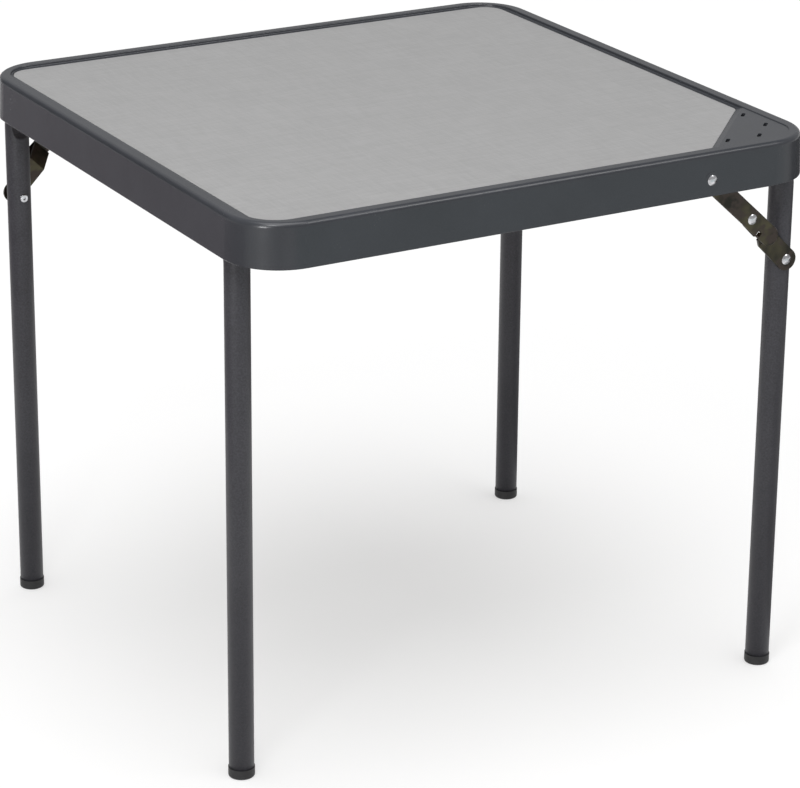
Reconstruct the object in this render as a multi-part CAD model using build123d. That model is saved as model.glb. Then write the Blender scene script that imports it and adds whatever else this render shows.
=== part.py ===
from build123d import *
import math
import os

# A small square folding table. The origin is on the floor under the middle of the top,
# +X runs across the table from one leg frame to the other, +Y runs to the back, +Z is up.
# The two leg frames are the same piece, turned half a turn about the middle of the table.

# Table
TABLE_WIDTH = 560.0
TABLE_DEPTH = 542.0
TABLE_HEIGHT = 515.0
CUT_OVERRUN = 5.0

# Rim moulding
RIM_HEIGHT = 39.0
RIM_WALL = 2.5
RIM_DRAFT = 1.6
RIM_CORNER_RADIUS = 50.0
RIM_TOP_RADIUS = 4.4
RIM_FOOT_RADIUS = 0.8
LIP_WIDTH = 14.0
LIP_DROP = 2.5
LIP_CORNER_RADIUS = 30.0
LIP_EDGE_RADIUS = 1.0
COVE_RADIUS = 1.2
POCKET_INSET = 18.0
POCKET_CORNER_RADIUS = 20.0
LEDGE_REACH = 32.0
LEDGE_THICKNESS = 2.5
LEDGE_CORNER_RADIUS = 12.0
GUSSET_THICKNESS = 2.0
GUSSETS_PER_SIDE = 6
GUSSET_SPAN_SHARE = 0.75

# Corner plate of the rim, at the front right
PLATE_REACH = 125.0
PLATE_DROP = 0.8
PLATE_BEVEL = 5.0
PLATE_WALL = 2.0
PLATE_SLOT_LENGTH = 10.5
PLATE_SLOT_WIDTH = 3.4
PLATE_SLOT_INSET = 27.0
PLATE_NEAR_SLOT = 51.0
PLATE_FAR_SLOT = 84.5

# Board: a core with a thin facing on top
CORE_THICKNESS = 6.0
FACING_THICKNESS = 1.0
BOARD_CLEARANCE = 0.4
BOARD_CLIP_RADIUS = 7.0
FACING_EDGE_RADIUS = 0.4
BOARD_SCREW_DIAMETER = 3.5
BOARD_SCREW_HEAD = 7.0
BOARD_SCREW_BITE = 4.5
BOARD_SCREW_ROW_SHARES = (-0.3, 0.0, 0.3)

# Leg frames
TUBE_DIAMETER = 22.0
TUBE_WALL = 1.2
TUBE_BEND_RADIUS = 27.0
TUBE_DENT_RADIUS = 12.3
TUBE_DENT_SETBACK = 9.0
LEG_INSET = 20.5
BRACED_LEG_INSET = 32.5
PLAIN_LEG_INSET = 67.0

# Foot caps
CAP_WALL = 0.5
CAP_FLOOR = 2.5
CAP_HEIGHT = 9.0
CAP_EDGE_RADIUS = 1.8

# Hinge clips that carry the top tube of each leg frame
CLIP_STRIP = 1.5
CLIP_WIDTH = 20.0
CLIP_TAIL = 33.0
CLIP_SCREW_SETBACK = 9.0
CLIP_SPACING = 280.0
PAD_MARGIN = 6.0
PAD_CORNER_RADIUS = 5.0
CLIP_SCREW_DIAMETER = 4.0
CLIP_SCREW_HEAD = 8.0
CLIP_SCREW_HEAD_HEIGHT = 2.4
CLIP_SCREW_BITE = 4.5

# Folding braces
BRACE_APRON_REACH = 118.0
BRACE_LEG_DROP = 93.0
OVER_CENTRE = 1.2
LINK_THICKNESS = 2.0
UPPER_LINK_WIDTH = 18.0
UPPER_LINK_TAIL = 36.0
LOWER_LINK_WIDTH = 20.0
JOGGLE_START = 21.0
JOGGLE_RUN = 15.0
JOGGLE_BEND_RADIUS = 2.0
STOP_SETBACK = 12.5
STOP_WINDOW_LENGTH = 5.0
STOP_WINDOW_WIDTH = 4.0
STOP_WINDOW_EDGE = 1.5
STOP_TAB_PROUD = 0.8
STOP_NEAR_MARGIN = 2.4
STOP_FAR_MARGIN = 0.6
LINK_EDGE_RADIUS = 1.4

# Rivets
RIVET_DIAMETER = 4.8
RIVET_HEAD = 9.5
RIVET_HEAD_HEIGHT = 1.8
RIVET_TAIL = 7.5
RIVET_TAIL_HEIGHT = 1.4
RIVET_TAIL_BORE = 3.0
BOSS_DIAMETER = 15.0

# Fits
PIVOT_CLEARANCE = 0.05
FACE_GAP = 0.2
OPEN_PIVOT_GAP = 0.3
STOP_GAP = 0.3

# Heights that follow from the stack of rim, board and hinge clips
band_z = TABLE_HEIGHT - LIP_DROP
board_z = band_z - FACING_THICKNESS - CORE_THICKNESS
ledge_z = board_z - LEDGE_THICKNESS
rim_foot_z = TABLE_HEIGHT - RIM_HEIGHT
tube_radius = TUBE_DIAMETER / 2
hinge_z = ledge_z - CLIP_STRIP - PIVOT_CLEARANCE - tube_radius

# Places of one leg frame, the right-hand one
half_width = TABLE_WIDTH / 2
half_depth = TABLE_DEPTH / 2
leg_x = half_width - LEG_INSET
braced_leg_y = BRACED_LEG_INSET - half_depth
plain_leg_y = half_depth - PLAIN_LEG_INSET
frame_middle_y = (braced_leg_y + plain_leg_y) / 2

# Brace pivots in the side view: the apron rivet is level with the hinge, so that the
# folded links lie flat inside the rim, and the knee passes the straight line by a little
apron_pivot = Vector(half_width - BRACE_APRON_REACH, 0, hinge_z)
leg_pivot = Vector(leg_x, 0, hinge_z - BRACE_LEG_DROP)
brace_line = leg_pivot - apron_pivot
fold_offset = (leg_x - BRACE_LEG_DROP) - apron_pivot.X
link_sum = math.sqrt(
    brace_line.length**2
    + (2 * OVER_CENTRE * brace_line.length) ** 2 / (brace_line.length**2 - fold_offset**2)
)
upper_length = (link_sum - fold_offset) / 2
lower_length = (link_sum + fold_offset) / 2
brace_direction = brace_line.normalized()
brace_normal = Vector(-brace_direction.Z, 0, brace_direction.X)
knee_along = math.sqrt(upper_length**2 - OVER_CENTRE**2)
knee_pivot = apron_pivot + brace_direction * knee_along + brace_normal * OVER_CENTRE

# Layers of the brace from the leg out to the rim wall, as distances from the middle
apron_slope = RIM_DRAFT / RIM_HEIGHT
wall_outer_y = half_depth - apron_slope * (hinge_z - rim_foot_z)
wall_inner_y = wall_outer_y - RIM_WALL
apron_head_y = wall_outer_y + apron_slope * RIVET_HEAD / 2
upper_outer_y = wall_inner_y - RIVET_HEAD_HEIGHT - FACE_GAP
upper_inner_y = upper_outer_y - LINK_THICKNESS
stop_y = STOP_WINDOW_EDGE + STOP_WINDOW_WIDTH / 2 - UPPER_LINK_WIDTH / 2
knee_outer_y = upper_inner_y - FACE_GAP
knee_inner_y = knee_outer_y - LINK_THICKNESS
leg_face_y = -braced_leg_y + tube_radius
lower_inner_y = leg_face_y + OPEN_PIVOT_GAP
lower_outer_y = lower_inner_y + LINK_THICKNESS


def front_view(distance, origin=None, direction=None):
    """A drawing plane parallel to the front, facing out, a distance in front of the middle."""
    start = origin if origin else Vector(0, 0, 0)
    along = direction if direction else Vector(1, 0, 0)
    return Plane((start.X, -distance, start.Z), x_dir=along, z_dir=(0, -1, 0))


def turned(shape):
    """The same shape for the left-hand leg frame."""
    return Rot(0, 0, 180) * shape


def inset_outline(inset, radius):
    """The rim's outline moved inwards, with its own corner radius."""
    return RectangleRounded(TABLE_WIDTH - 2 * inset, TABLE_DEPTH - 2 * inset, radius)


def slab(outline, bottom, top):
    """An outline raised from one height to another."""
    return extrude(Pos(0, 0, bottom) * outline, amount=top - bottom)


def drafted_block(inset, height):
    """A block from the rim's foot up, whose sides lean in with the moulding's draft."""
    outline = Pos(0, 0, rim_foot_z) * inset_outline(inset, RIM_CORNER_RADIUS - inset)
    return extrude(outline, amount=height, taper=math.degrees(math.atan(apron_slope)))


def behind_diagonal(offset):
    """A large square on the corner plate's side of the diagonal, moved towards the corner."""
    side = TABLE_WIDTH + TABLE_DEPTH
    middle = half_width + half_depth - PLATE_REACH
    place = Pos(middle / 2, -middle / 2, 0) * Rot(0, 0, -45)
    return place * Pos(offset + side / 2, 0, 0) * Rectangle(side, side)


# Rim: one moulding with a drafted apron, a raised lip and a pocket for the board
def rim_shell():
    block = drafted_block(0, RIM_HEIGHT)
    block = fillet(block.faces().sort_by(Axis.Z)[-1].edges(), RIM_TOP_RADIUS)
    block = fillet(block.faces().sort_by(Axis.Z)[0].edges(), RIM_FOOT_RADIUS)
    recess = slab(inset_outline(LIP_WIDTH, LIP_CORNER_RADIUS), band_z, TABLE_HEIGHT + CUT_OVERRUN)
    block = block - recess
    block = fillet(block.faces().sort_by(Axis.Z)[-1].inner_wires()[0].edges(), LIP_EDGE_RADIUS)
    floor = block.faces().filter_by(Axis.Z).filter_by_position(Axis.Z, rim_foot_z, band_z, (False, True))
    block = fillet(floor.sort_by(Axis.Z)[-1].outer_wire().edges(), COVE_RADIUS)
    under_band = band_z - RIM_WALL
    block = block - drafted_block(RIM_WALL, under_band - rim_foot_z)
    under_lip = inset_outline(RIM_WALL + RIM_DRAFT, RIM_CORNER_RADIUS - RIM_WALL - RIM_DRAFT)
    under_lip = under_lip - inset_outline(LIP_WIDTH - RIM_WALL, LIP_CORNER_RADIUS + RIM_WALL)
    return block - slab(under_lip, under_band, TABLE_HEIGHT - RIM_WALL)


def board_pocket():
    """The pocket's wall and the ledge that carries the board, before the pocket is cut."""
    frame = inset_outline(POCKET_INSET - RIM_WALL, POCKET_CORNER_RADIUS + RIM_WALL)
    frame = frame - inset_outline(LEDGE_REACH, LEDGE_CORNER_RADIUS)
    return slab(frame, ledge_z, band_z - RIM_WALL)


def gussets():
    """Webs between the apron and the pocket's wall, in a row along each side."""
    depth = POCKET_INSET - RIM_WALL
    height = band_z - RIM_WALL - ledge_z
    pieces = []
    for length, reach, turn in ((TABLE_WIDTH, half_depth, 0), (TABLE_DEPTH, half_width, 90)):
        pitch = length * GUSSET_SPAN_SHARE / (GUSSETS_PER_SIDE - 1)
        row = GridLocations(pitch, 2 * reach - RIM_WALL - depth, GUSSETS_PER_SIDE, 2)
        web = Box(GUSSET_THICKNESS, depth, height)
        pieces += [Rot(0, 0, turn) * Pos(0, 0, ledge_z + height / 2) * spot * web for spot in row]
    return pieces


def hinge_pads():
    """Widenings of the ledge that the hinge clips are screwed to."""
    reach = CLIP_TAIL + LEG_INSET + PAD_MARGIN
    size_x = reach - POCKET_INSET
    pad = RectangleRounded(size_x, CLIP_WIDTH + 2 * PAD_MARGIN, PAD_CORNER_RADIUS)
    pads = []
    for y in clip_places():
        place = Pos(half_width - POCKET_INSET - size_x / 2, y, 0)
        pads.append(slab(place * pad, ledge_z, board_z))
    return pads + [turned(piece) for piece in pads]


def clip_places():
    return (frame_middle_y - CLIP_SPACING / 2, frame_middle_y + CLIP_SPACING / 2)


def corner_plate():
    """The plate that fills the front right corner, with its bevel and the wall below it."""
    top = TABLE_HEIGHT - PLATE_DROP
    under = top - RIM_WALL
    side = PLATE_REACH
    profile = Polygon(
        (0, board_z),
        (0, band_z),
        (PLATE_BEVEL, top),
        (side, top),
        (side, under),
        (PLATE_BEVEL, under),
        (PLATE_WALL, band_z - RIM_WALL),
        (PLATE_WALL, board_z),
        align=None,
    )
    middle = (half_width + half_depth - PLATE_REACH) / 2
    inward = Plane((middle, -middle, 0), x_dir=(1, -1, 0), z_dir=(-1, -1, 0))
    bar = extrude(inward * profile, amount=side, both=True)
    recess = slab(inset_outline(LIP_WIDTH, LIP_CORNER_RADIUS), ledge_z, TABLE_HEIGHT)
    plate = bar & recess
    slot = SlotOverall(PLATE_SLOT_LENGTH, PLATE_SLOT_WIDTH)
    for along in (PLATE_NEAR_SLOT, PLATE_FAR_SLOT):
        for from_side, from_front in ((PLATE_SLOT_INSET, along), (along, PLATE_SLOT_INSET)):
            place = Pos(half_width - from_side, from_front - half_depth, 0) * Rot(0, 0, 45)
            plate = plate - slab(place * slot, under - CUT_OVERRUN, TABLE_HEIGHT)
    return plate


def rim_frame():
    rim = rim_shell() + board_pocket()
    rim = rim - slab(inset_outline(POCKET_INSET, POCKET_CORNER_RADIUS), board_z, TABLE_HEIGHT)
    rim = rim - slab(inset_outline(LEDGE_REACH, LEDGE_CORNER_RADIUS), rim_foot_z, TABLE_HEIGHT)
    rim = rim + gussets() + hinge_pads() + corner_plate()
    boss = Pos(apron_pivot.X, apron_pivot.Z) * Circle(BOSS_DIAMETER / 2)
    hole = Pos(apron_pivot.X, apron_pivot.Z) * Circle(RIVET_DIAMETER / 2 + PIVOT_CLEARANCE)
    boss = extrude(front_view(upper_outer_y + FACE_GAP) * boss, amount=RIM_WALL + RIVET_HEAD_HEIGHT)
    hole = extrude(front_view(upper_inner_y) * hole, amount=RIM_WALL + RIVET_HEAD_HEIGHT + CUT_OVERRUN)
    rim = rim + [boss, turned(boss)] - [hole, turned(hole)]
    return rim - board_screw_cuts() - clip_screw_cuts()


# Board: the core drops into the pocket and its corner is cut off beside the plate
def board_outline():
    inset = POCKET_INSET + BOARD_CLEARANCE
    outline = inset_outline(inset, POCKET_CORNER_RADIUS - BOARD_CLEARANCE)
    outline = outline - behind_diagonal(-BOARD_CLEARANCE)
    cut_corners = outline.vertices().sort_by(Axis((0, 0, 0), (1, -1, 0)))[-2:]
    return fillet(cut_corners, BOARD_CLIP_RADIUS)


def board_core():
    core = slab(board_outline(), board_z, board_z + CORE_THICKNESS)
    return core - board_screw_cuts() - clip_screw_cuts()


def board_facing():
    facing = slab(board_outline(), board_z + CORE_THICKNESS, band_z)
    return fillet(facing.faces().sort_by(Axis.Z)[-1].edges(), FACING_EDGE_RADIUS)


def board_screw_places():
    row_inset = (POCKET_INSET + LEDGE_REACH) / 2
    places = []
    for share in BOARD_SCREW_ROW_SHARES:
        for sign in (-1, 1):
            places.append((share * TABLE_WIDTH, sign * (half_depth - row_inset)))
            places.append((sign * (half_width - row_inset), share * TABLE_DEPTH))
    return places


def screw_from_below(shank_radius, tip, head_outline):
    """One screw pointing up, drawn as half its section and turned about its axis."""
    section = Polygon(*head_outline, (shank_radius, tip - shank_radius), (0, tip), align=None)
    return revolve(Plane.XZ * section, Axis.Z)


def board_screws(clearance=0.0):
    """Countersunk screws, flush with the underside of the ledge."""
    shank = BOARD_SCREW_DIAMETER / 2 + clearance
    head = BOARD_SCREW_HEAD / 2 + clearance
    tip = LEDGE_THICKNESS + BOARD_SCREW_BITE + clearance
    screw = screw_from_below(shank, tip, [(0, 0), (head, 0), (shank, head - shank)])
    return [Pos(x, y, ledge_z) * screw for x, y in board_screw_places()]


def board_screw_cuts():
    return board_screws(PIVOT_CLEARANCE)


# Hinge clips: a strip wrapped round the top tube, with both ends brought to one tail
def clip_screw_places():
    x = leg_x - CLIP_TAIL + CLIP_SCREW_SETBACK
    right = [(x, y) for y in clip_places()]
    return right + [(-x, -y) for x, y in right]


def hinge_clip(y):
    bore = tube_radius + PIVOT_CLEARANCE
    outer = bore + CLIP_STRIP
    tail = Pos(-CLIP_TAIL / 2, bore) * Rectangle(CLIP_TAIL, 2 * CLIP_STRIP)
    section = Circle(outer) + tail - Circle(bore)
    back_face = -y - CLIP_WIDTH / 2
    plane = front_view(back_face, Vector(leg_x, 0, hinge_z))
    return extrude(plane * section, amount=CLIP_WIDTH) - clip_screw_cuts()


def clip_screws(clearance=0.0):
    """Cheese-head screws, up through both layers of a clip's tail."""
    seat = ledge_z - 2 * CLIP_STRIP
    shank = CLIP_SCREW_DIAMETER / 2 + clearance
    head = CLIP_SCREW_HEAD / 2 + clearance
    drop = -CLIP_SCREW_HEAD_HEIGHT - clearance
    tip = 2 * CLIP_STRIP + LEDGE_THICKNESS + CLIP_SCREW_BITE + clearance
    screw = screw_from_below(shank, tip, [(0, drop), (head, drop), (head, 0), (shank, 0)])
    return [Pos(x, y, seat) * screw for x, y in clip_screw_places()]


def clip_screw_cuts():
    return clip_screws(PIVOT_CLEARANCE)


# Leg frames: one tube bent into a U by a press that dents the inside of each bend, with the
# brace rivet's cross hole in one leg
def leg_frame():
    outside = bent_rod(tube_radius, TUBE_DENT_RADIUS)
    bore = bent_rod(tube_radius - TUBE_WALL, TUBE_DENT_RADIUS + TUBE_WALL)
    hole = Circle(RIVET_DIAMETER / 2 + PIVOT_CLEARANCE)
    start = front_view(-braced_leg_y - TUBE_DIAMETER, leg_pivot)
    return outside - bore - extrude(start * hole, amount=2 * TUBE_DIAMETER)


def bent_rod(radius, dent_radius):
    """The leg frame's line as a solid rod, hollowed inside its two bends by the press."""
    corners = [
        (leg_x, braced_leg_y, CAP_FLOOR),
        (leg_x, braced_leg_y, hinge_z),
        (leg_x, plain_leg_y, hinge_z),
        (leg_x, plain_leg_y, CAP_FLOOR),
    ]
    path = FilletPolyline(*corners, radius=TUBE_BEND_RADIUS)
    rod = sweep(Plane(path @ 0, z_dir=path % 0) * Circle(radius), path=path)
    inward = TUBE_BEND_RADIUS - TUBE_DENT_SETBACK
    dent = Rot(0, 90, 0) * Cylinder(dent_radius, 2 * TUBE_DIAMETER)
    for y in (braced_leg_y + inward, plain_leg_y - inward):
        rod = rod - Pos(leg_x, y, hinge_z - inward) * dent
    return rod


def foot_cap(x, y):
    outer = tube_radius + PIVOT_CLEARANCE + CAP_WALL
    cap = extrude(Circle(outer), amount=CAP_HEIGHT)
    cap = fillet(cap.faces().sort_by(Axis.Z)[0].edges(), CAP_EDGE_RADIUS)
    bore = Pos(0, 0, CAP_FLOOR) * Circle(tube_radius + PIVOT_CLEARANCE)
    return Pos(x, y, 0) * (cap - extrude(bore, amount=CAP_HEIGHT))


# Braces: the upper link is pinned to the rim and its tail overlaps the lower link. A tab
# turned in from a window in the tail stops the knee just past the straight line
def upper_link():
    plane = front_view(upper_inner_y, apron_pivot, (knee_pivot - apron_pivot).normalized())
    far_end = upper_length + UPPER_LINK_TAIL - UPPER_LINK_WIDTH / 2
    outline = Pos(far_end / 2, 0) * SlotCenterToCenter(far_end, UPPER_LINK_WIDTH)
    holes = Circle(RIVET_DIAMETER / 2 + PIVOT_CLEARANCE)
    outline = outline - holes - Pos(upper_length, 0) * holes
    link = eased_rim(extrude(plane * outline, amount=LINK_THICKNESS))
    window_x = upper_length + STOP_SETBACK + STOP_WINDOW_LENGTH / 2
    window = Pos(window_x, stop_y) * Rectangle(STOP_WINDOW_LENGTH, STOP_WINDOW_WIDTH)
    link = link - extrude(plane * window, amount=LINK_THICKNESS)
    tab_x = upper_length + STOP_SETBACK + STOP_WINDOW_LENGTH + LINK_THICKNESS / 2
    tab = Pos(tab_x, stop_y) * Rectangle(LINK_THICKNESS, STOP_WINDOW_WIDTH)
    return link + extrude(plane * tab, amount=-LINK_THICKNESS - FACE_GAP - STOP_TAB_PROUD)


def eased_rim(link):
    """Rounds the outer edge of a pressed link's outer face."""
    outer_face = link.faces().filter_by(Axis.Y).sort_by(Axis.Y)[0]
    return fillet(outer_face.outer_wire().edges(), LINK_EDGE_RADIUS)


def lower_link():
    direction = (leg_pivot - knee_pivot).normalized()
    plane = front_view(lower_inner_y, knee_pivot, direction)
    knee_radius = UPPER_LINK_WIDTH / 2
    leg_radius = LOWER_LINK_WIDTH / 2
    ends = [CenterArc((0, 0), knee_radius, 0, 360), CenterArc((lower_length, 0), leg_radius, 0, 360)]
    outline = make_hull(ends)
    holes = Circle(RIVET_DIAMETER / 2 + PIVOT_CLEARANCE)
    outline = outline - holes - Pos(lower_length, 0) * holes
    kink = math.radians(direction.get_angle(knee_pivot - apron_pivot))
    tab_start = STOP_SETBACK + STOP_WINDOW_LENGTH
    tab_far = tab_start + LINK_THICKNESS
    notch_edge = STOP_GAP + tab_far * math.sin(kink) + stop_y + STOP_WINDOW_WIDTH / 2
    notch_length = STOP_NEAR_MARGIN + LINK_THICKNESS + STOP_FAR_MARGIN
    notch = Pos(tab_start - STOP_NEAR_MARGIN + notch_length / 2, notch_edge - leg_radius)
    outline = outline - notch * Rectangle(notch_length, 2 * leg_radius)
    depth = knee_outer_y - lower_inner_y
    blank = extrude(plane * outline, amount=depth)
    return blank & joggled_strip(direction)


def joggled_strip(direction):
    """The lower link's edge view: flat at the knee, stepped in to reach the leg."""
    step = knee_outer_y - lower_outer_y
    half = LINK_THICKNESS / 2
    lean = half * math.tan(math.atan2(step, JOGGLE_RUN) / 2)
    start = -UPPER_LINK_WIDTH
    finish = lower_length + LOWER_LINK_WIDTH
    high = step + half
    upper_side = [
        (start, high + half),
        (JOGGLE_START + lean, high + half),
        (JOGGLE_START + JOGGLE_RUN + lean, LINK_THICKNESS),
        (finish, LINK_THICKNESS),
    ]
    lower_side = [
        (finish, 0),
        (JOGGLE_START + JOGGLE_RUN - lean, 0),
        (JOGGLE_START - lean, high - half),
        (start, high - half),
    ]
    strip = Polygon(*upper_side, *lower_side, align=None)
    bends = strip.vertices().filter_by_position(Axis.X, start, finish, (False, False))
    strip = fillet(bends, JOGGLE_BEND_RADIUS)
    across = Vector(direction.Z, 0, -direction.X)
    edge_view = Plane((knee_pivot.X, -lower_inner_y, knee_pivot.Z), x_dir=direction, z_dir=across)
    return extrude(edge_view * strip, amount=LOWER_LINK_WIDTH, both=True)


# Rivets: a domed head outside and a rolled tail inside
def dome(radius, height):
    sphere_radius = (radius**2 + height**2) / (2 * height)
    ball = Pos(0, 0, height - sphere_radius) * Sphere(sphere_radius)
    return ball & extrude(Circle(radius), amount=height)


def rolled_tail(top):
    """A rolled rivet tail below a height, with its hollow end."""
    tail = Pos(0, 0, top - RIVET_TAIL_HEIGHT) * Circle(RIVET_TAIL / 2)
    tail = extrude(tail, amount=RIVET_TAIL_HEIGHT)
    tail = fillet(tail.faces().sort_by(Axis.Z)[0].edges(), RIVET_TAIL_HEIGHT / 2)
    bore = Pos(0, 0, top - RIVET_TAIL_HEIGHT) * Circle(RIVET_TAIL_BORE / 2)
    return tail, extrude(bore, amount=RIVET_TAIL_HEIGHT)


def rivet(pivot, head_seat, tail_seat):
    """A whole rivet: its head bears outwards on head_seat, its tail inwards on tail_seat."""
    grip = head_seat - tail_seat
    shank = extrude(Pos(0, 0, -grip) * Circle(RIVET_DIAMETER / 2), amount=grip)
    tail, bore = rolled_tail(-grip)
    body = dome(RIVET_HEAD / 2, RIVET_HEAD_HEIGHT) + shank + tail - bore
    return front_view(head_seat, pivot) * body


def leg_rivet_head():
    """The head of the leg rivet, which stays with the lower link."""
    shank = extrude(Pos(0, 0, -LINK_THICKNESS) * Circle(RIVET_DIAMETER / 2), amount=LINK_THICKNESS)
    return front_view(lower_outer_y, leg_pivot) * (dome(RIVET_HEAD / 2, RIVET_HEAD_HEIGHT) + shank)


def leg_rivet_shank():
    """The rest of the leg rivet, through the tube, with its tail on the leg's inner side."""
    shank = extrude(Pos(0, 0, -TUBE_DIAMETER) * Circle(RIVET_DIAMETER / 2), amount=TUBE_DIAMETER)
    tail, bore = rolled_tail(-TUBE_DIAMETER)
    return front_view(leg_face_y, leg_pivot) * (shank + tail - bore)


def side_pieces():
    """Every piece of the right-hand leg frame and its brace, by name."""
    near, far = clip_places()
    return {
        "leg_frame": leg_frame(),
        "foot_cap_braced": foot_cap(leg_x, braced_leg_y),
        "foot_cap_plain": foot_cap(leg_x, plain_leg_y),
        "hinge_clip_braced": hinge_clip(near),
        "hinge_clip_plain": hinge_clip(far),
        "upper_link": upper_link(),
        "lower_link": lower_link(),
        "apron_rivet": rivet(apron_pivot, apron_head_y, upper_inner_y - FACE_GAP),
        "knee_rivet": rivet(knee_pivot, upper_outer_y, knee_inner_y - FACE_GAP),
        "leg_rivet_head": leg_rivet_head(),
        "leg_rivet_shank": leg_rivet_shank(),
    }


def all_pieces():
    pieces = {
        "rim_frame": rim_frame(),
        "board_core": board_core(),
        "board_facing": board_facing(),
        "board_screws": Compound(children=board_screws()),
        "hinge_clip_screws": Compound(children=clip_screws()),
    }
    for name, shape in side_pieces().items():
        pieces[f"right_{name}"] = shape
        pieces[f"left_{name}"] = turned(shape)
    return pieces


os.makedirs("parts", exist_ok=True)
for name, shape in all_pieces().items():
    export_step(shape, f"parts/{name}.step")

upper_turn = 180 + math.degrees(math.atan2(knee_pivot.Z - apron_pivot.Z, knee_pivot.X - apron_pivot.X))
lower_turn = math.degrees(math.atan2(leg_pivot.Z - knee_pivot.Z, leg_pivot.X - knee_pivot.X))
print("hinge axis", leg_x, hinge_z)
print("apron pivot", apron_pivot.X, apron_pivot.Z)
print("knee pivot", knee_pivot.X, knee_pivot.Z)
print("leg pivot", leg_pivot.X, leg_pivot.Z)
print("link lengths", upper_length, lower_length)
print("turn of upper link and of lower link over the fold", upper_turn, lower_turn)
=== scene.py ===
import bmesh
import bpy
import math
from mathutils import Matrix, Vector


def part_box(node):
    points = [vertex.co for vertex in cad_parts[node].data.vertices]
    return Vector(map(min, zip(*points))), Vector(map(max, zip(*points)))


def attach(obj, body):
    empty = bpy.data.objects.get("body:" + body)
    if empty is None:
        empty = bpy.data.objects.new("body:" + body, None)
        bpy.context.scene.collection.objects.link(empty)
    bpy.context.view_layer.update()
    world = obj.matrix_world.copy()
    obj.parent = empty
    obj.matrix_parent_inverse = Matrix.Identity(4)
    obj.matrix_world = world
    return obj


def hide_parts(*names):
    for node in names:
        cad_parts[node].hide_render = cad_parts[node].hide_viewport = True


# A small square folding table with two swinging leg frames. Metres, the same frame as the
# solids: the floor is at zero, X runs from one leg frame to the other, Y runs to the back.
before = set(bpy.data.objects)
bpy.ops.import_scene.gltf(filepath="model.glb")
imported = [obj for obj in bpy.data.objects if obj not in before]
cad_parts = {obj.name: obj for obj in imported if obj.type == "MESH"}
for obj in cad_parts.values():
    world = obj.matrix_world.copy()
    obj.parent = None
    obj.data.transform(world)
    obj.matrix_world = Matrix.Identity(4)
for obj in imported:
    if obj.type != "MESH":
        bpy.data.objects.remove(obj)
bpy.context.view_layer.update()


# The rim is one injection moulding in charcoal polypropylene: a drafted apron, a raised lip
# and a corner plate. The mould was spark-eroded, so its skin is a fine, slightly oily grain,
# faintly wavy where ribs stand behind the wall.
class Wire:
    """A value in a finish. Sums and products of wires add the Math nodes that work them out."""

    def __init__(self, tree, socket=None):
        self.tree = tree
        self.socket = socket

    def node(self, kind, settings=None, inputs=None, output=0):
        """Any other node: its settings first, then values or wires for its sockets."""
        made = self.tree.nodes.new(kind)
        for name, value in (settings or {}).items():
            setattr(made, name, value)
        for name, value in (inputs or {}).items():
            if isinstance(value, Wire):
                self.tree.links.new(value.socket, made.inputs[name])
            else:
                made.inputs[name].default_value = value
        return Wire(self.tree, made.outputs[output] if made.outputs else None)

    def math(self, operation, first, second):
        """One sum, product or other working on two values or wires."""
        return self.node("ShaderNodeMath", {"operation": operation}, {0: first, 1: second})

    def __add__(self, other):
        return self.math("ADD", self, other)

    def __mul__(self, other):
        return self.math("MULTIPLY", self, other)

    __radd__ = __add__
    __rmul__ = __mul__

    def step(self, low, high):
        """Nothing below low, one above high, and a smooth rise between."""
        settings = {"interpolation_type": "SMOOTHSTEP"}
        inputs = {"Value": self, "From Min": low, "From Max": high}
        return self.node("ShaderNodeMapRange", settings, inputs)

    def blend(self, first, second):
        """This value as the share of the second colour in the first."""
        factor, first_colour, second_colour, mixed = 0, 6, 7, 2
        inputs = {factor: self, first_colour: first, second_colour: second}
        return self.node("ShaderNodeMix", {"data_type": "RGBA"}, inputs, mixed)

    def shades(self, colour, dark, light):
        """This value as the way from a dark shade of a colour to a light one."""
        return self.blend(shade(colour, dark), shade(colour, light))


def shade(colour, factor):
    """A colour made lighter or darker, still opaque."""
    return [*[channel * factor for channel in colour[:3]], 1.0]


def grain(wire, place, size, detail=2.0, rough=0.5, stretch=(1.0, 1.0, 1.0)):
    """Noise about one half, whose blobs are size metres across, longer where stretch is more."""
    scale = [1.0 / (size * share) for share in stretch]
    where = wire.node("ShaderNodeMapping", None, {"Vector": place, "Scale": scale})
    inputs = {"Vector": where, "Scale": 1.0, "Detail": detail, "Roughness": rough}
    return wire.node("ShaderNodeTexNoise", None, inputs)


def bump(wire, height, depth=1.0):
    """A normal from a height, one unit of which stands depth metres proud."""
    inputs = {"Height": height, "Distance": depth, "Strength": 1.0}
    return wire.node("ShaderNodeBump", None, inputs)


def finish(name, paint):
    """A material whose Principled shader is fed by what paint returns."""
    material = bpy.data.materials.new(name)
    material.use_nodes = True
    tree = material.node_tree
    tree.nodes.clear()
    wire = Wire(tree)
    place = wire.node("ShaderNodeTexCoord", output="Object")
    shader = wire.node("ShaderNodeBsdfPrincipled", None, paint(wire, place))
    wire.node("ShaderNodeOutputMaterial", None, {"Surface": shader})
    return material


def dress(node, material):
    """Puts a finish on every material slot of a solid from the frame."""
    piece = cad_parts[node]
    for index in range(len(piece.data.materials)):
        piece.material_slots[index].material = material


RIM_COLOUR = (0.0435, 0.0465, 0.0545, 1.0)
RIM_ROUGHNESS = 0.20
RIM_IOR = 1.45
SPARK_HEIGHT = 0.00003
SPECK_HEIGHT = 0.00002
WAVE_HEIGHT = 0.00020


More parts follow.
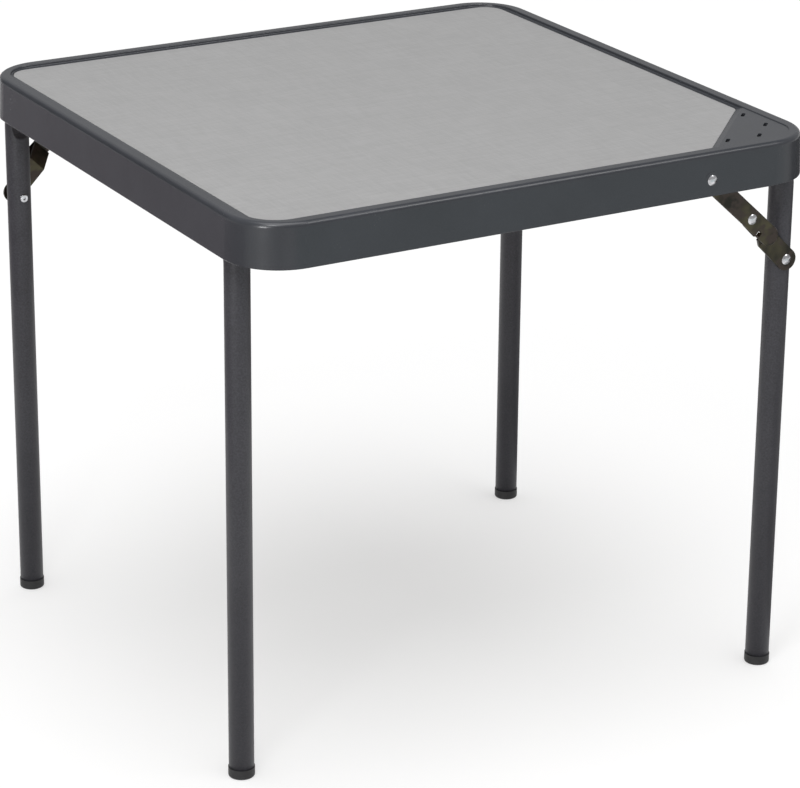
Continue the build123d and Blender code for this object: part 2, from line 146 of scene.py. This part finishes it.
def rim_skin(wire, place):
    cloud = grain(wire, place, size=0.060, detail=3.0)
    speck = grain(wire, place, size=0.0012)
    spark = grain(wire, place, size=0.00035, rough=0.6)
    wave = grain(wire, place, size=0.045, detail=1.0)
    tone = (cloud * 0.7 + speck * 0.3).step(low=0.25, high=0.75)
    height = spark * SPARK_HEIGHT + speck * SPECK_HEIGHT + wave * WAVE_HEIGHT
    return {
        "Base Color": tone.shades(RIM_COLOUR, dark=0.90, light=1.10),
        "Roughness": RIM_ROUGHNESS + cloud * 0.06 + speck * 0.05,
        "IOR": RIM_IOR,
        "Normal": bump(wire, height),
    }


rim_plastic = finish("charcoal_moulding", rim_skin)
dress("rim_frame", rim_plastic)


# The board is a fibreboard core with a matt grey laminate pressed on top. The laminate has a
# fine brushed linen print: short hairlines both ways, a shade lighter or darker than the grey.
BOARD_GREY = (0.346, 0.3445, 0.345, 1.0)
HAIR_WIDTH = 0.0010
HAIR_STRETCH = 28.0
CROSS_HAIR_STRETCH = 22.0
LAMINATE_ROUGHNESS = 0.42
HAIR_HEIGHT = 0.000015
CORE_BROWN = (0.300, 0.205, 0.115, 1.0)
CORE_ROUGHNESS = 0.80
FIBRE_HEIGHT = 0.00008


def laminate_skin(wire, place):
    hair = {"size": HAIR_WIDTH, "detail": 3.0, "rough": 0.6}
    hairs = grain(wire, place, stretch=(HAIR_STRETCH, 1.0, 1.0), **hair)
    cross = grain(wire, place, stretch=(1.0, CROSS_HAIR_STRETCH, 1.0), **hair)
    cloud = grain(wire, place, size=0.050)
    thread = hairs * 0.55 + cross * 0.45
    tone = (thread * 0.93 + cloud * 0.07).step(low=0.36, high=0.64)
    return {
        "Base Color": tone.shades(BOARD_GREY, dark=0.91, light=1.09),
        "Roughness": LAMINATE_ROUGHNESS + thread * 0.16,
        "Normal": bump(wire, thread, HAIR_HEIGHT),
    }


def core_skin(wire, place):
    fibre = grain(wire, place, size=0.0006, detail=4.0, rough=0.7)
    chips = grain(wire, place, size=0.004, detail=3.0, rough=0.6)
    tone = (fibre * 0.6 + chips * 0.4).step(low=0.3, high=0.7)
    return {
        "Base Color": tone.shades(CORE_BROWN, dark=0.78, light=1.15),
        "Roughness": CORE_ROUGHNESS + fibre * 0.15,
        "Normal": bump(wire, fibre, FIBRE_HEIGHT),
    }


dress("board_facing", finish("grey_laminate", laminate_skin))
dress("board_core", finish("fibreboard", core_skin))


# Each leg frame is one length of steel tube, bent into a U and powder-coated in charcoal with a
# fine hammered grain. The press that bends it hollows the inside of each bend, from a little way
# down the leg to as far along the top, with a sharp lip and a nearly flat floor.
PAINT_COLOUR = (0.065, 0.064, 0.074, 1.0)
PAINT_ROUGHNESS = 0.36
PAINT_IOR = 1.4
PEEL_HEIGHT = 0.00011
TUBE_RADIUS = 0.011
TUBE_SEGMENTS = 72
BEND_RADIUS = 0.027
BEND_STEPS = 44
CLOSE_RINGS = 15
RING_GAP = 0.001
HOLLOW_DEPTH = 0.0048
HOLLOW_REACH = 0.0296
HOLLOW_DISH = 0.40
MERGE_DISTANCE = 1e-6


def paint_skin(wire, place):
    peel = grain(wire, place, size=0.0016)
    speck = grain(wire, place, size=0.0006, rough=0.6)
    cloud = grain(wire, place, size=0.030)
    tone = (peel * 0.5 + speck * 0.3 + cloud * 0.2).step(low=0.3, high=0.7)
    return {
        "Base Color": tone.shades(PAINT_COLOUR, dark=0.74, light=1.26),
        "Roughness": PAINT_ROUGHNESS + peel * 0.14,
        "IOR": PAINT_IOR,
        "Normal": bump(wire, peel * 0.7 + speck * 0.3, PEEL_HEIGHT),
    }


def as_piece(name, mesh, material):
    """The object that a finished bmesh becomes, with its place in its mesh."""
    made = bpy.data.meshes.new(name)
    mesh.to_mesh(made)
    mesh.free()
    made.materials.append(material)
    piece = bpy.data.objects.new(name, made)
    bpy.context.collection.objects.link(piece)
    return piece


def press_hollow(vert, centre_y, side, centre_z):
    """Presses one vertex in where it lies in the hollow of the bend about this centre."""
    y = (vert.co.y - centre_y) * side
    z = vert.co.z - centre_z
    bend_length = BEND_RADIUS * math.pi / 2
    if y >= 0:
        inner, along, way = BEND_RADIUS - z, bend_length + y, (0.0, -1.0)
    elif z <= 0:
        inner, along, way = BEND_RADIUS + y, z, (1.0, 0.0)
    else:
        away = math.hypot(y, z)
        inner, along = BEND_RADIUS - away, BEND_RADIUS * math.atan2(z, -y)
        way = (-y / away, -z / away)
    share = (along - bend_length / 2) / HOLLOW_REACH
    if abs(share) >= 1:
        return
    level = TUBE_RADIUS - HOLLOW_DEPTH * math.sqrt(1 - share * share)
    if inner > level:
        press = (level - inner) * (1 + HOLLOW_DISH)
        vert.co.y += way[0] * press * side
        vert.co.z += way[1] * press


def bent_tube(name, node, body):
    """A leg frame's tube, drawn ring by ring from foot to foot, with close rings at the bends."""
    low, high = (Vector(corner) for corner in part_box(node))
    x = (low.x + high.x) / 2
    first_y, last_y = low.y + TUBE_RADIUS, high.y - TUBE_RADIUS
    centre_z = high.z - TUBE_RADIUS - BEND_RADIUS
    first_centre_y, last_centre_y = first_y + BEND_RADIUS, last_y - BEND_RADIUS
    close = CLOSE_RINGS * RING_GAP
    leg = centre_z - close - low.z
    run = last_centre_y - first_centre_y - 2 * close
    bend = {"axis": (1, 0, 0), "angle": -math.pi / 2, "steps": BEND_STEPS}
    fine = {"axis": (1, 0, 0), "angle": 0.0, "steps": CLOSE_RINGS}
    far = {"axis": (1, 0, 0), "angle": 0.0, "steps": 1}
    moves = (
        {**far, "dvec": (0, 0, leg)},
        {**fine, "dvec": (0, 0, RING_GAP)},
        {**bend, "cent": (x, first_centre_y, centre_z)},
        {**fine, "dvec": (0, RING_GAP, 0)},
        {**far, "dvec": (0, run, 0)},
        {**fine, "dvec": (0, RING_GAP, 0)},
        {**bend, "cent": (x, last_centre_y, centre_z)},
        {**fine, "dvec": (0, 0, -RING_GAP)},
        {**far, "dvec": (0, 0, -leg)},
    )
    mesh = bmesh.new()
    circle = {"segments": TUBE_SEGMENTS, "radius": TUBE_RADIUS, "cap_ends": True}
    bmesh.ops.create_circle(mesh, matrix=Matrix.Translation((x, first_y, low.z)), **circle)
    ring = list(mesh.verts) + list(mesh.edges)
    for move in moves:
        ring = bmesh.ops.spin(mesh, geom=ring, **move)["geom_last"]
    last_ring = [item for item in ring if isinstance(item, bmesh.types.BMEdge)]
    bmesh.ops.contextual_create(mesh, geom=last_ring)
    for vert in mesh.verts:
        press_hollow(vert, first_centre_y, 1, centre_z)
        press_hollow(vert, last_centre_y, -1, centre_z)
    bmesh.ops.remove_doubles(mesh, verts=mesh.verts, dist=MERGE_DISTANCE)
    bmesh.ops.recalc_face_normals(mesh, faces=mesh.faces)
    for face in mesh.faces:
        is_end = len(face.verts) == TUBE_SEGMENTS
        face.smooth = not is_end
    piece = as_piece(name, mesh, leg_paint)
    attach(piece, body)
    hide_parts(node)


leg_paint = finish("hammered_powder_coat", paint_skin)
for side in ("right", "left"):
    bent_tube(f"{side}_bent_tube", f"{side}_leg_frame", f"{side}_legs")


# The foot caps are soft black plastic cups pushed over the ends of the tube. Their sides are
# satin and their soles scuffed.
CAP_BLACK = (0.012, 0.012, 0.013, 1.0)
CAP_ROUGHNESS = 0.40
CAP_GRAIN_HEIGHT = 0.00004


def cap_skin(wire, place):
    speck = grain(wire, place, size=0.0008)
    scuff = grain(wire, place, size=0.006, detail=3.0, rough=0.6)
    return {
        "Base Color": scuff.step(low=0.45, high=0.8).shades(CAP_BLACK, dark=1.0, light=2.2),
        "Roughness": CAP_ROUGHNESS + scuff * 0.25,
        "Normal": bump(wire, speck, CAP_GRAIN_HEIGHT),
    }


cap_plastic = finish("black_cap_plastic", cap_skin)
for side in ("right", "left"):
    for end in ("braced", "plain"):
        dress(f"{side}_foot_cap_{end}", cap_plastic)


# The hinge clips are steel strips wrapped round the top tube of each leg frame, coated with the
# frames. Both ends of the strip lie together as a tail, held up by a screw.
for side in ("right", "left"):
    for end in ("braced", "plain"):
        dress(f"{side}_hinge_clip_{end}", leg_paint)


# The screws are zinc-plated steel and point up, with a cross recess pressed into each head. The
# board's are countersunk level with the underside of the ledge. The clips' have low domed heads,
# and go through the tail and the ledge into the board.
SCREW_ZINC = (0.60, 0.60, 0.61, 1.0)
ZINC_ROUGHNESS = 0.28
TURNING_HEIGHT = 0.00001
TURN_STEPS = 32
TURN_PER_SCREW = 1.1
CROSS_TAPER = 0.55

# Profiles run from the face's edge to the tip, as radius and height above the seat. A cross is
# the reach of its arms, half their width, and its depth.
BOARD_SCREW = (
    (0.0034, 0.0),
    (0.0035, 0.0001),
    (0.0035, 0.0002),
    (0.00175, 0.0019),
    (0.00175, 0.0052),
    (0.0, 0.0070),
)
BOARD_CROSS = (0.0019, 0.00042, 0.0011)
CLIP_HEAD_HEIGHT = 0.0024
CLIP_SCREW = (
    (0.0022, -CLIP_HEAD_HEIGHT),
    (0.0030, -0.0022),
    (0.0036, -0.0018),
    (0.0039, -0.0012),
    (0.0040, -0.0006),
    (0.0040, 0.0),
    (0.0020, 0.0),
    (0.0020, 0.0080),
    (0.0, 0.0100),
)
CLIP_CROSS = (0.0018, 0.00048, 0.0014)

SIDE_ROW_X = 0.255
SIDE_ROW_SPACING = 0.1626
END_ROW_Y = 0.246
END_ROW_SPACING = 0.168
CLIP_SCREW_SETBACK = 0.009


def zinc_skin(wire, place):
    turned = grain(wire, place, size=0.0003)
    stain = grain(wire, place, size=0.003)
    return {
        "Base Color": stain.step(low=0.3, high=0.7).shades(SCREW_ZINC, dark=0.80, light=1.10),
        "Metallic": 1.0,
        "Roughness": ZINC_ROUGHNESS + turned * 0.15,
        "Normal": bump(wire, turned, TURNING_HEIGHT),
    }


def screw_pattern(profile, cross):
    """One screw about its own axis, its face filled between its edge and the recess."""
    reach, half, depth = cross
    mesh = bmesh.new()
    chain = [mesh.verts.new((radius, 0.0, height)) for radius, height in profile]
    edges = [mesh.edges.new(pair) for pair in zip(chain, chain[1:])]
    turn = {"cent": (0, 0, 0), "axis": (0, 0, 1), "angle": math.tau, "steps": TURN_STEPS}
    bmesh.ops.spin(mesh, geom=chain + edges, use_merge=True, **turn)
    bmesh.ops.remove_doubles(mesh, verts=mesh.verts, dist=MERGE_DISTANCE)
    rim = [edge for edge in mesh.edges if edge.is_boundary]
    face = profile[0][1]
    arm = [Vector((reach, half)), Vector((half, half)), Vector((half, reach))]
    quarters = [Matrix.Rotation(quarter * math.pi / 2, 2) for quarter in range(4)]
    star = [mesh.verts.new((*(turned @ spot), face)) for turned in quarters for spot in arm]
    lip = [mesh.edges.new((star[index - 1], star[index])) for index in range(len(star))]
    bmesh.ops.triangle_fill(mesh, use_beauty=True, edges=rim + lip)
    walls = bmesh.ops.extrude_edge_only(mesh, edges=lip)["geom"]
    for item in walls:
        if isinstance(item, bmesh.types.BMVert):
            item.co = (item.co.x * CROSS_TAPER, item.co.y * CROSS_TAPER, face + depth)
    wall_edges = [item for item in walls if isinstance(item, bmesh.types.BMEdge)]
    floor_edges = [edge for edge in wall_edges if edge.is_boundary]
    bmesh.ops.triangle_fill(mesh, use_beauty=True, edges=floor_edges)
    bmesh.ops.recalc_face_normals(mesh, faces=mesh.faces)
    pattern = bpy.data.meshes.new("screw_pattern")
    mesh.to_mesh(pattern)
    mesh.free()
    return pattern


def set_screws(name, node, pattern, places, seat):
    """One object of every screw of a kind, each turned its own way."""
    group = bmesh.new()
    for index, (x, y) in enumerate(places):
        first = len(group.verts)
        group.from_mesh(pattern)
        group.verts.ensure_lookup_table()
        turn = Matrix.Rotation(index * TURN_PER_SCREW, 4, "Z")
        place = Matrix.Translation((x, y, seat)) @ turn
        bmesh.ops.transform(group, matrix=place, verts=group.verts[first:])
    bpy.data.meshes.remove(pattern)
    piece = as_piece(name, group, screw_zinc)
    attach(piece, "tabletop")
    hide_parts(node)


def clip_screw_places():
    """The middle of each clip's tail, a setback in from its end."""
    places = []
    for side, way in (("right", 1), ("left", -1)):
        for end in ("braced", "plain"):
            low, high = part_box(f"{side}_hinge_clip_{end}")
            tail_end = low[0] if side == "right" else high[0]
            places.append((tail_end + way * CLIP_SCREW_SETBACK, (low[1] + high[1]) / 2))
    return places


screw_zinc = finish("zinc_plate", zinc_skin)

side_row = [(x, step * SIDE_ROW_SPACING) for x in (-SIDE_ROW_X, SIDE_ROW_X) for step in (-1, 0, 1)]
end_row = [(step * END_ROW_SPACING, y) for y in (-END_ROW_Y, END_ROW_Y) for step in (-1, 0, 1)]
ledge_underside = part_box("board_screws")[0][2]
board_pattern = screw_pattern(BOARD_SCREW, BOARD_CROSS)
set_screws("cross_head_board_screws", "board_screws", board_pattern, side_row + end_row, ledge_underside)

clip_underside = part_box("hinge_clip_screws")[0][2] + CLIP_HEAD_HEIGHT
clip_pattern = screw_pattern(CLIP_SCREW, CLIP_CROSS)
set_screws("cross_head_clip_screws", "hinge_clip_screws", clip_pattern, clip_screw_places(), clip_underside)


# The braces are pressed steel links, passivated to a glossy olive black that has come out
# cloudy, with brown stains. Bright domed rivets pin them to the rim, to each other and to the leg.
BRACE_BLACK = (0.020, 0.018, 0.014, 1.0)
BRACE_OLIVE = (0.074, 0.065, 0.038, 1.0)
BRACE_BROWN = (0.050, 0.038, 0.032, 1.0)
BRACE_METAL = 0.75
BRACE_ROUGHNESS = 0.24
ROLLING_HEIGHT = 0.00002
RIVET_BRIGHT = (0.58, 0.58, 0.60, 1.0)
RIVET_ROUGHNESS = 0.16
DENT_HEIGHT = 0.0004


def brace_skin(wire, place):
    cloud = grain(wire, place, size=0.018, stretch=(1.0, 1.0, 1.4))
    stain = grain(wire, place, size=0.013, rough=0.6)
    rolled = grain(wire, place, size=0.0008)
    olive = cloud.step(low=0.36, high=0.68).blend(BRACE_BLACK, BRACE_OLIVE)
    return {
        "Base Color": stain.step(low=0.42, high=0.62).blend(olive, BRACE_BROWN),
        "Metallic": BRACE_METAL,
        "Roughness": BRACE_ROUGHNESS + cloud * 0.12,
        "Normal": bump(wire, rolled, ROLLING_HEIGHT),
    }


def rivet_skin(wire, place):
    turned = grain(wire, place, size=0.0004)
    dent = grain(wire, place, size=0.0040, detail=1.0)
    return {
        "Base Color": dent.step(low=0.3, high=0.7).shades(RIVET_BRIGHT, dark=0.80, light=1.15),
        "Metallic": 1.0,
        "Roughness": RIVET_ROUGHNESS + turned * 0.10,
        "Normal": bump(wire, turned * 0.02 + dent, DENT_HEIGHT),
    }


brace_steel = finish("olive_black_steel", brace_skin)
rivet_steel = finish("bright_rivet_plate", rivet_skin)
for side in ("right", "left"):
    for link in ("upper_link", "lower_link"):
        dress(f"{side}_{link}", brace_steel)
    for pin in ("apron_rivet", "knee_rivet", "leg_rivet_head", "leg_rivet_shank"):
        dress(f"{side}_{pin}", rivet_steel)


# The floor is one pale sheet. A glow that only the camera and reflections see brings it up to
# white and leaves the table a soft shadow on it. For bounced light it is a mid grey.
FLOOR_SIZE = (60.0, 60.0)
FLOOR_GREY = (0.50, 0.50, 0.50, 1.0)
FLOOR_GLOW = (0.52, 0.52, 0.52, 1.0)
NO_GLOW = (0.0, 0.0, 0.0, 1.0)
SHEET_ROUGHNESS = 0.9
UP = (0.0, 0.0, 1.0)


def seen_directly(wire):
    """One for rays from the camera, from a gloss or through glass, nothing for soft bounces."""
    path = wire.node("ShaderNodeLightPath", output="Is Camera Ray")
    gloss = wire.node("ShaderNodeLightPath", output="Is Glossy Ray")
    glass = wire.node("ShaderNodeLightPath", output="Is Transmission Ray")
    return wire.math("MINIMUM", path + gloss + glass, 1.0)


def floor_skin(wire, place):
    return {
        "Base Color": FLOOR_GREY,
        "Roughness": SHEET_ROUGHNESS,
        "Specular IOR Level": 0.0,
        "Emission Color": seen_directly(wire).blend(NO_GLOW, FLOOR_GLOW),
        "Emission Strength": 1.0,
    }


def staged_sheet(name, middle, size, facing, material):
    """A flat rectangle of the studio, not a piece of the table."""
    mesh = bmesh.new()
    bmesh.ops.create_grid(mesh, x_segments=1, y_segments=1, size=0.5)
    bmesh.ops.scale(mesh, vec=(*size, 1.0), verts=mesh.verts)
    turn = Vector(facing).to_track_quat("Z", "Y").to_matrix().to_4x4()
    bmesh.ops.transform(mesh, matrix=Matrix.Translation(middle) @ turn, verts=mesh.verts)
    sheet = as_piece(name, mesh, material)
    return sheet


pale_floor = finish("pale_floor", floor_skin)
pale_floor.cycles.emission_sampling = "NONE"
staged_sheet("floor", (0.0, 0.0, 0.0), FLOOR_SIZE, UP, pale_floor)


# The light is a broad soft one overhead, with a dim even sky and a small near lamp at the front
# left. A small panel high at the front right and a strip at the left show only in gloss, as the
# line along the rim's shoulder and the streak down each leg.
SKY_LEVEL = 0.42
OVERHEAD_POWER = 1.75
OVERHEAD_SPREAD = math.radians(50.0)
OVERHEAD_TURN = (math.radians(6.0), 0.0, 0.0)
LAMP_AIM = Vector((0.0, 0.0, 0.45))
LAMPS = (  # name, power, place, size, and whether it lights what isn't glossy
    ("near", 7.5, (-0.9, -0.9, 1.7), (0.5, 0.5), True),
    ("front_panel", 22.0, (1.62, -1.86, 2.97), (1.1, 1.0), False),
    ("left_strip", 30.0, (-2.3, -1.55, 0.9), (0.3, 1.0), False),
)


def lamp(name, kind, power):
    """A lamp of one kind and power, still to be placed."""
    light = bpy.data.lights.new(name, kind)
    light.energy = power
    holder = bpy.data.objects.new(name, light)
    bpy.context.collection.objects.link(holder)
    return holder


world = bpy.data.worlds.new("sky")
world.use_nodes = True
sky = world.node_tree.nodes["Background"].inputs
sky["Color"].default_value = (1.0, 1.0, 1.0, 1.0)
sky["Strength"].default_value = SKY_LEVEL
bpy.context.scene.world = world

overhead = lamp("overhead", "SUN", OVERHEAD_POWER)
overhead.data.angle = OVERHEAD_SPREAD
overhead.rotation_euler = OVERHEAD_TURN
for name, power, place, size, soft in LAMPS:
    panel = lamp(name, "AREA", power)
    panel.data.shape = "RECTANGLE"
    panel.data.size, panel.data.size_y = size
    panel.location = place
    panel.rotation_euler = (LAMP_AIM - Vector(place)).to_track_quat("-Z", "Y").to_euler()
    panel.visible_diffuse = soft


# Grey cards keep the pale room out of the gloss, as a photographer's flags do. Five lie on the
# floor, one stands at the back left and one hangs at the upper right. Only gloss sees them.
LIFT = 0.002
CARDS = (  # name, middle, size, facing, colour
    ("left_floor_card", (-1.60, 1.20, LIFT), (2.2, 2.8), UP, (0.37, 0.33, 0.36, 1.0)),
    ("right_floor_card", (0.65, 0.20, LIFT), (0.7, 1.5), UP, (0.42, 0.42, 0.42, 1.0)),
    ("far_floor_card", (2.10, 1.00, LIFT), (2.2, 3.6), UP, (0.08, 0.08, 0.08, 1.0)),
    ("front_floor_card", (1.30, -2.70, LIFT), (2.8, 2.6), UP, (0.70, 0.82, 0.82, 1.0)),
    ("near_floor_card", (-0.88, -1.45, LIFT), (0.5, 0.6), UP, (0.30, 0.30, 0.30, 1.0)),
    ("standing_card", (-1.45, 2.5, 1.3), (1.6, 2.2), (0.5, -0.866, 0.0), (0.15, 0.15, 0.15, 1.0)),
    ("hanging_card", (1.33, 0.28, 2.6), (1.8, 1.4), (-0.535, -0.11, -0.84), (0.05, 0.05, 0.05, 1.0)),
)


def place_card(name, middle, size, facing, colour):
    """One flat card, seen by gloss alone."""

    def card_skin(wire, place):
        return {"Base Color": colour, "Roughness": SHEET_ROUGHNESS, "Specular IOR Level": 0.0}

    card = staged_sheet(name, middle, size, facing, finish(name, card_skin))
    card.visible_camera = False
    card.visible_diffuse = False
    card.visible_transmission = False
    card.visible_shadow = False


for card in CARDS:
    place_card(*card)


# The camera stands about three metres off, to the left of the front, and looks down on the
# table from a little above its top. The small shift keeps the legs nearly upright.
CAMERA_PLACE = Vector((-1.379, -2.397, 1.3155))
CAMERA_TURN = math.radians(-30.70)
CAMERA_TILT = math.radians(20.24)
CAMERA_ROLL = math.radians(0.73)
CAMERA_SHIFT = (-0.0375, -0.08)
LEVEL = math.radians(90.0)
PICTURE_WIDTH = 800
FOCAL_PIXELS = 3211.0
SENSOR_WIDTH = 36.0

view = bpy.data.cameras.new("camera")
view.sensor_width = SENSOR_WIDTH
view.lens = FOCAL_PIXELS * SENSOR_WIDTH / PICTURE_WIDTH
view.shift_x, view.shift_y = CAMERA_SHIFT
camera = bpy.data.objects.new("camera", view)
bpy.context.collection.objects.link(camera)
camera.matrix_world = (
    Matrix.Translation(CAMERA_PLACE)
    @ Matrix.Rotation(CAMERA_TURN, 4, "Z")
    @ Matrix.Rotation(LEVEL - CAMERA_TILT, 4, "X")
    @ Matrix.Rotation(CAMERA_ROLL, 4, "Z")
)
bpy.context.scene.camera = camera
bpy.context.scene.view_settings.view_transform = "Standard"
